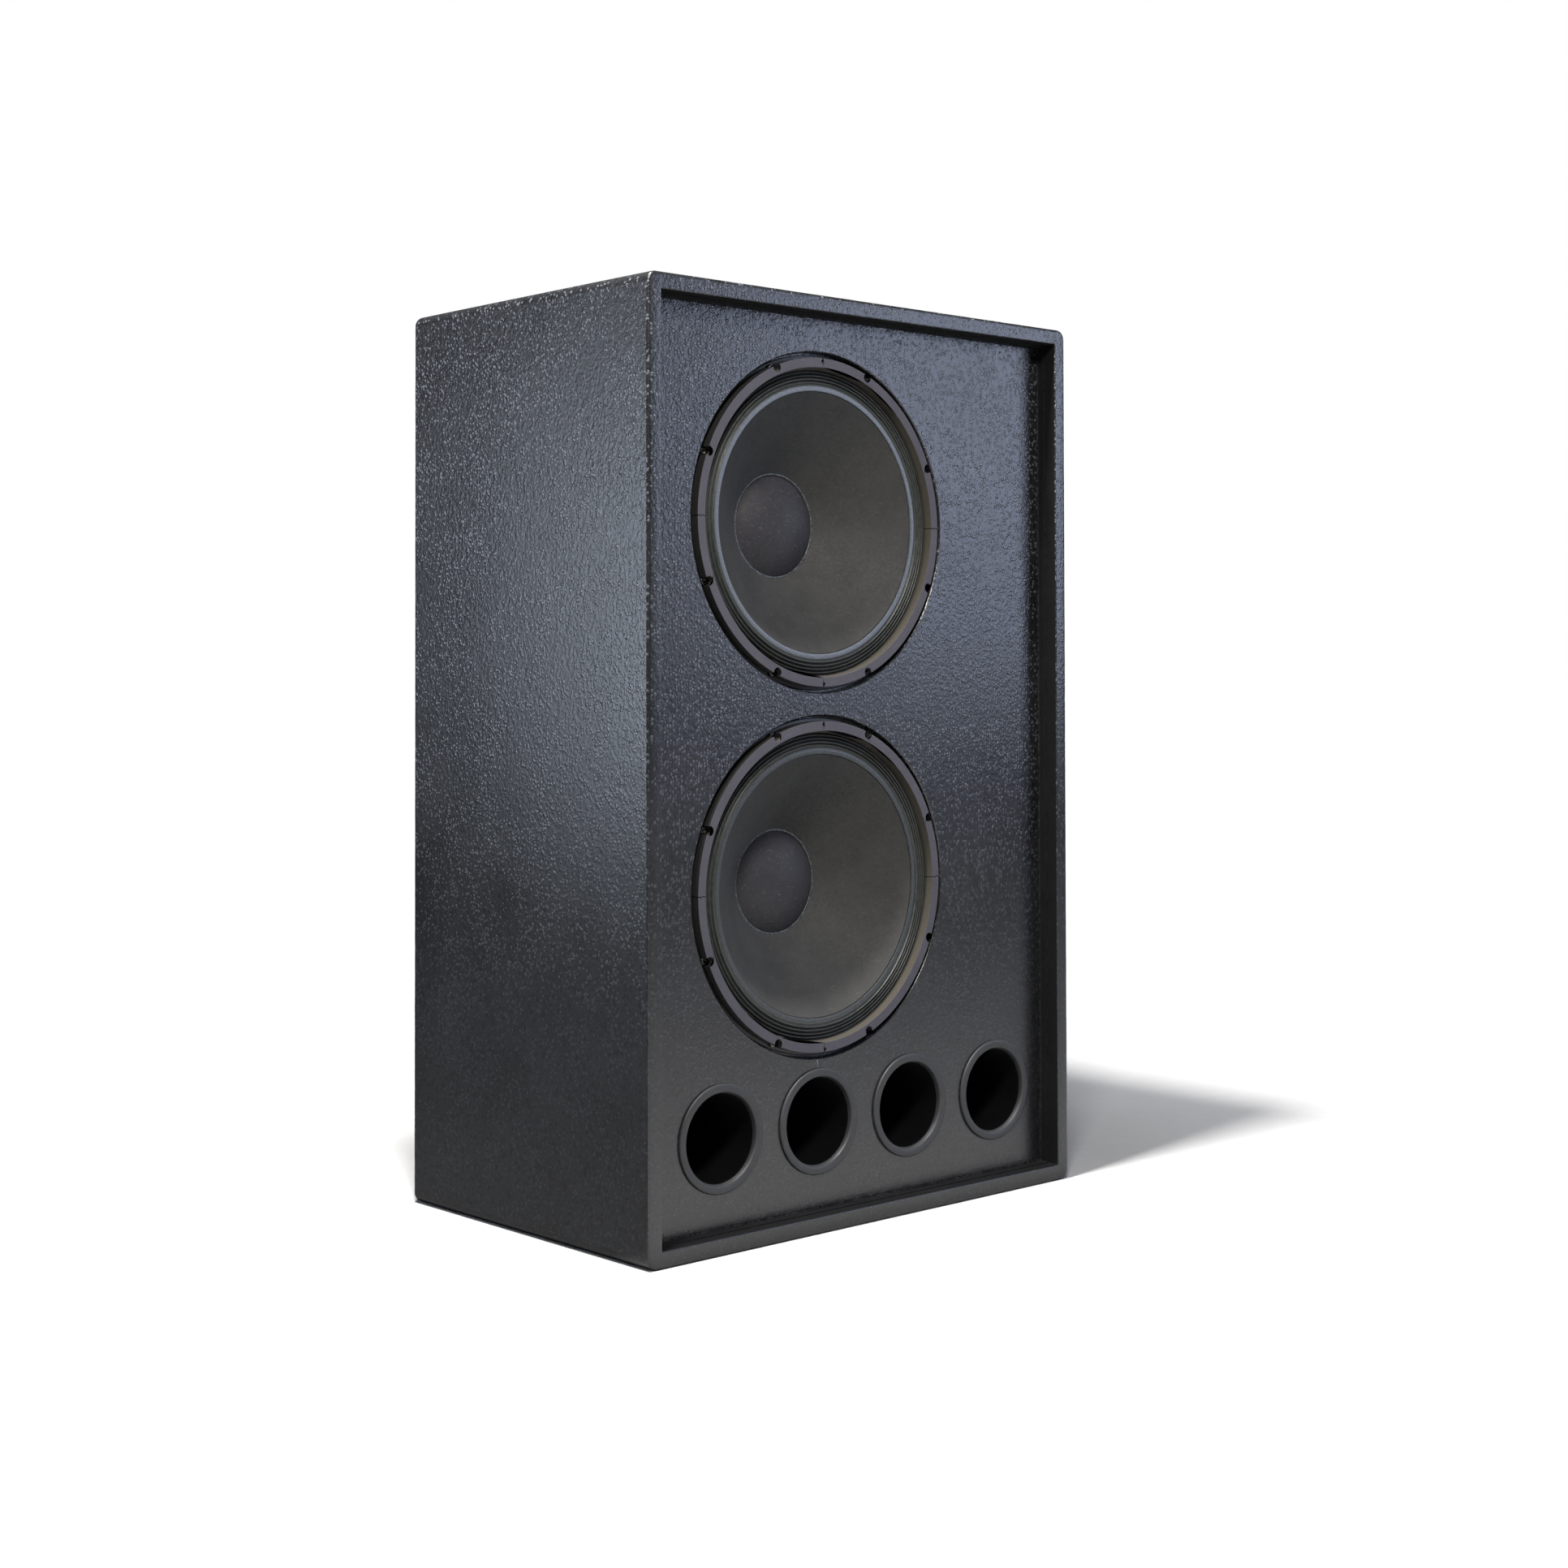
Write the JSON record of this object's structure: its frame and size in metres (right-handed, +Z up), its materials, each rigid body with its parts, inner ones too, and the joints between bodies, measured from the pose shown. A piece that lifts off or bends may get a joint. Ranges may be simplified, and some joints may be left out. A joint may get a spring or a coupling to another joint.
{
  "type": "pa speaker cabinet",
  "caption": "Black textured plywood bass cabinet with two fifteen inch drivers set left of centre and a row of round ports, recessed baffle, rear connector plate.",
  "frame": {"origin": "middle of the base, on the surface the cabinet stands on", "axes": "+Z up, the front with the drivers faces -Y, +X to the right as seen from the front"},
  "size_m": [0.667, 0.441, 1.05],
  "materials": {
    "coated_plywood": "black textured coating with a fine orange-peel grain over birch plywood, semi-matt",
    "bare_plywood": "bare birch plywood, sanded",
    "frame_paint": "black powder coat, satin",
    "gasket_fibre": "pressed purple-grey fibre with fine speckles, matt",
    "surround_cloth": "pleated cloth, dark green-black, sealed to a soft sheen",
    "cone_paper": "pressed charcoal paper pulp with fine fibres, matt",
    "cap_felt": "dark felted paper, matt",
    "coil_copper": "enamelled copper wire winding",
    "spider_cloth": "pleated cotton stiffened with resin, amber",
    "plated_steel": "zinc plated steel, satin",
    "ferrite": "sintered ferrite, dull dark grey",
    "black_steel": "black steel, satin",
    "port_plastic": "moulded charcoal plastic, satin",
    "socket_plastic": "moulded black plastic, satin",
    "lead_sheath": "black rubber sheath, matt",
    "wadding_fleece": "white polyester wadding, fluffy"
  },
  "bodies": {
    "cabinet": {"back_panel": "coated_plywood", "bottom_panel": "coated_plywood", "front_baffle": "coated_plywood", "input_plate": "black_steel", "left_back_batten": "bare_plywood", "left_front_batten": "bare_plywood", "left_side_panel": "coated_plywood", "left_socket": "socket_plastic", "lower_basket": "frame_paint", "lower_bolt_1": "black_steel", "lower_bolt_2": "black_steel", "lower_bolt_3": "black_steel", "lower_bolt_4": "black_steel", "lower_bolt_5": "black_steel", "lower_bolt_6": "black_steel", "lower_bolt_7": "black_steel", "lower_bolt_8": "black_steel", "lower_gasket": "gasket_fibre", "lower_lead": "lead_sheath", "lower_magnet": "ferrite", "lower_terminal_strip": "socket_plastic", "lower_top_plate": "plated_steel", "lower_wadding": "wadding_fleece", "lower_yoke": "plated_steel", "port_tube_1": "port_plastic", "port_tube_2": "port_plastic", "port_tube_3": "port_plastic", "port_tube_4": "port_plastic", "right_back_batten": "bare_plywood", "right_front_batten": "bare_plywood", "right_side_panel": "coated_plywood", "right_socket": "socket_plastic", "top_panel": "coated_plywood", "upper_basket": "frame_paint", "upper_bolt_1": "black_steel", "upper_bolt_2": "black_steel", "upper_bolt_3": "black_steel", "upper_bolt_4": "black_steel", "upper_bolt_5": "black_steel", "upper_bolt_6": "black_steel", "upper_bolt_7": "black_steel", "upper_bolt_8": "black_steel", "upper_gasket": "gasket_fibre", "upper_lead": "lead_sheath", "upper_magnet": "ferrite", "upper_terminal_strip": "socket_plastic", "upper_top_plate": "plated_steel", "upper_wadding": "wadding_fleece", "upper_yoke": "plated_steel", "window_brace": "bare_plywood"},
    "upper_cone_body": {"upper_cone": "cone_paper", "upper_dust_cap": "cap_felt", "upper_spider": "spider_cloth", "upper_surround": "surround_cloth", "upper_voice_coil": "coil_copper"},
    "lower_cone_body": {"lower_cone": "cone_paper", "lower_dust_cap": "cap_felt", "lower_spider": "spider_cloth", "lower_surround": "surround_cloth", "lower_voice_coil": "coil_copper"}
  },
  "joints": [
    {"name": "upper_cone_travel", "type": "slide", "parent": "cabinet", "child": "upper_cone_body", "axis": [0, -1, 0], "range_m": [-0.008, 0.008], "stiffness_N_per_m": 5000, "deforming": ["upper_surround", "upper_spider"]},
    {"name": "lower_cone_travel", "type": "slide", "parent": "cabinet", "child": "lower_cone_body", "axis": [0, -1, 0], "range_m": [-0.008, 0.008], "stiffness_N_per_m": 5000, "deforming": ["lower_surround", "lower_spider"]}
  ]
}
